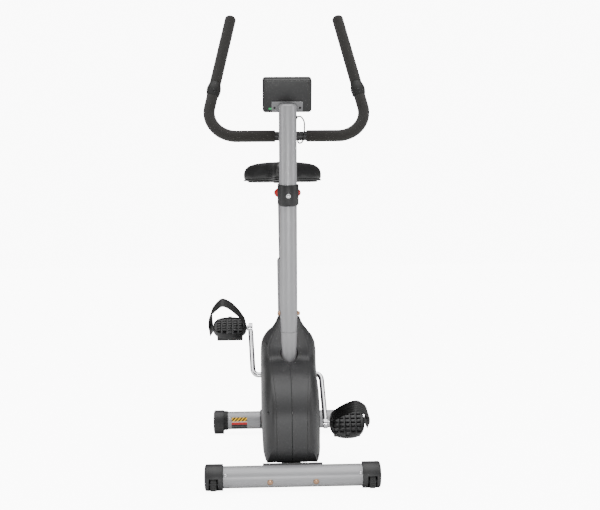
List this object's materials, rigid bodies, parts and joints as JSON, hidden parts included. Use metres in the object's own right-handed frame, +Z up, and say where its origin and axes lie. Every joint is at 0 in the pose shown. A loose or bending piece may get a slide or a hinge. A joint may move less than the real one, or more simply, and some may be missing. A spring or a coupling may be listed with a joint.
{
  "type": "upright exercise bike",
  "caption": "Upright exercise bike with a magnetic flywheel in a two-part shroud, crank and strapped pedals, height-adjustable saddle, U handlebar with pulse grips and a small console.",
  "frame": {"origin": "on the floor, at the middle of the object's bounding box", "axes": "+Z up, the bike's front towards -Y, X across its width"},
  "size_m": [0.48, 0.8803, 1.335],
  "materials": {
    "axle_steel": "turned steel",
    "black_plastic": "moulded plastic, satin",
    "black_steel": "black powder coat, satin",
    "bracket_grey": "light grey painted plate",
    "button_grey": "moulded grey plastic",
    "cable": "black cable sheath",
    "cast_iron": "machined cast iron",
    "chrome": "bright chrome plate",
    "foam": "fine-celled grip foam, matt",
    "grey_paint": "silver-grey powder coat, satin",
    "lens": "clear dark display window",
    "red_plastic": "moulded red plastic",
    "rubber": "moulded black rubber",
    "saddle_vinyl": "black vinyl with a soft gloss",
    "sensor_plastic": "moulded plastic, satin",
    "shroud_plastic": "finely textured moulded plastic",
    "wheel_rubber": "ribbed black rubber",
    "zinc": "yellow-passivated zinc plate"
  },
  "bodies": {
    "frame": {"main_beam": "black_steel", "post_stub": "grey_paint", "seat_tube": "grey_paint", "seat_bushing": "black_plastic", "flywheel_cradle": "black_steel", "front_stabilizer": "grey_paint", "rear_stabilizer": "grey_paint", "front_cap_left": "black_plastic", "front_cap_right": "black_plastic", "rear_cap_left": "black_plastic", "rear_cap_right": "black_plastic", "front_bolt_left": "zinc", "front_bolt_right": "zinc", "rear_bolt_left": "zinc", "rear_bolt_right": "zinc", "bearing_cup_left": "zinc", "bearing_cup_right": "zinc", "drive_belt": "rubber", "shroud_left": "shroud_plastic", "shroud_right": "shroud_plastic", "handlebar_post": "grey_paint", "post_bolt_left": "zinc", "post_bolt_right": "zinc", "tension_collar": "black_plastic", "tension_cable": "cable", "handlebar_clamp": "black_steel", "console_bracket": "bracket_grey", "console_back": "black_plastic", "console_front": "black_plastic", "console_lens": "lens", "pulse_cable": "cable"},
    "crankset": {"crank": "chrome", "drive_pulley": "black_plastic", "pedal_axle_left": "axle_steel", "pedal_axle_right": "axle_steel"},
    "pedal_left": {"pedal_left": "black_plastic", "pedal_strap_left": "rubber"},
    "pedal_right": {"pedal_right": "black_plastic", "pedal_strap_right": "rubber"},
    "flywheel": {"flywheel": "cast_iron", "flywheel_shaft": "axle_steel"},
    "magnet_arm": {"magnet_bracket": "black_steel"},
    "tension_knob": {"tension_knob": "red_plastic"},
    "wheel_left": {"transport_wheel_left": "wheel_rubber"},
    "wheel_right": {"transport_wheel_right": "wheel_rubber"},
    "foot_left": {"leveling_foot_left": "black_plastic"},
    "foot_right": {"leveling_foot_right": "black_plastic"},
    "seat": {"seat_post": "chrome", "saddle_base": "black_plastic", "saddle_cushion": "saddle_vinyl"},
    "seat_knob": {"seat_knob": "red_plastic"},
    "handlebar": {"handlebar": "black_steel", "foam_lower_left": "foam", "foam_lower_right": "foam", "foam_upper_left": "foam", "foam_upper_right": "foam", "pulse_sensor_left": "sensor_plastic", "pulse_sensor_right": "sensor_plastic"},
    "button_mode": {"button_mode": "button_grey"},
    "button_reset": {"button_reset": "button_grey"}
  },
  "joints": [
    {"name": "crank_spin", "type": "hinge", "parent": "frame", "child": "crankset", "pos_m": [0, 0, 0.256], "axis": [1, 0, 0], "continuous": true},
    {"name": "flywheel_spin", "type": "hinge", "parent": "frame", "child": "flywheel", "pos_m": [0, -0.295, 0.19], "axis": [1, 0, 0], "continuous": true},
    {"name": "pedal_left_spin", "type": "hinge", "parent": "crankset", "child": "pedal_left", "pos_m": [-0.11, 0.09464, 0.39116], "axis": [1, 0, 0], "continuous": true},
    {"name": "pedal_right_spin", "type": "hinge", "parent": "crankset", "child": "pedal_right", "pos_m": [0.11, -0.09464, 0.12084], "axis": [1, 0, 0], "continuous": true},
    {"name": "tension_turn", "type": "hinge", "parent": "frame", "child": "tension_knob", "pos_m": [0, -0.20136, 0.80768], "axis": [0, 0.9903, 0.1392], "range_deg": [0, 315]},
    {"name": "magnet_lift", "type": "hinge", "parent": "frame", "child": "magnet_arm", "pos_m": [0, -0.24899, 0.27653], "axis": [-1, 0, 0], "range_deg": [0, 2.52]},
    {"name": "wheel_left_spin", "type": "hinge", "parent": "frame", "child": "wheel_left", "pos_m": [-0.2145, -0.421, 0.0215], "axis": [1, 0, 0], "continuous": true},
    {"name": "wheel_right_spin", "type": "hinge", "parent": "frame", "child": "wheel_right", "pos_m": [0.2145, -0.421, 0.0215], "axis": [1, 0, 0], "continuous": true},
    {"name": "foot_left_turn", "type": "hinge", "parent": "frame", "child": "foot_left", "pos_m": [-0.222, 0.4, 0.045], "axis": [1, 0, 0], "range_deg": [0, 180]},
    {"name": "foot_right_turn", "type": "hinge", "parent": "frame", "child": "foot_right", "pos_m": [0.222, 0.4, 0.045], "axis": [1, 0, 0], "range_deg": [0, 180]},
    {"name": "seat_height", "type": "slide", "parent": "frame", "child": "seat", "axis": [0, 0.279, 0.9603], "range_m": [-0.11, 0.08]},
    {"name": "seat_pin_pull", "type": "slide", "parent": "frame", "child": "seat_knob", "axis": [0, 0.9603, -0.279], "range_m": [0, 0.008], "stiffness_N_per_m": 600},
    {"name": "handlebar_tilt", "type": "hinge", "parent": "frame", "child": "handlebar", "pos_m": [0, -0.23556, 0.967], "axis": [1, 0, 0], "range_deg": [-12, 12]},
    {"name": "button_mode_press", "type": "slide", "parent": "frame", "child": "button_mode", "axis": [0, -0.9397, -0.342], "range_m": [0, 0.002], "stiffness_N_per_m": 400},
    {"name": "button_reset_press", "type": "slide", "parent": "frame", "child": "button_reset", "axis": [0, -0.9397, -0.342], "range_m": [0, 0.002], "stiffness_N_per_m": 400}
  ],
  "couplings": [
    {"joint": "flywheel_spin", "follows": "crank_spin", "ratio": 5.7368},
    {"joint": "magnet_lift", "follows": "tension_turn", "ratio": 0.008}
  ]
}
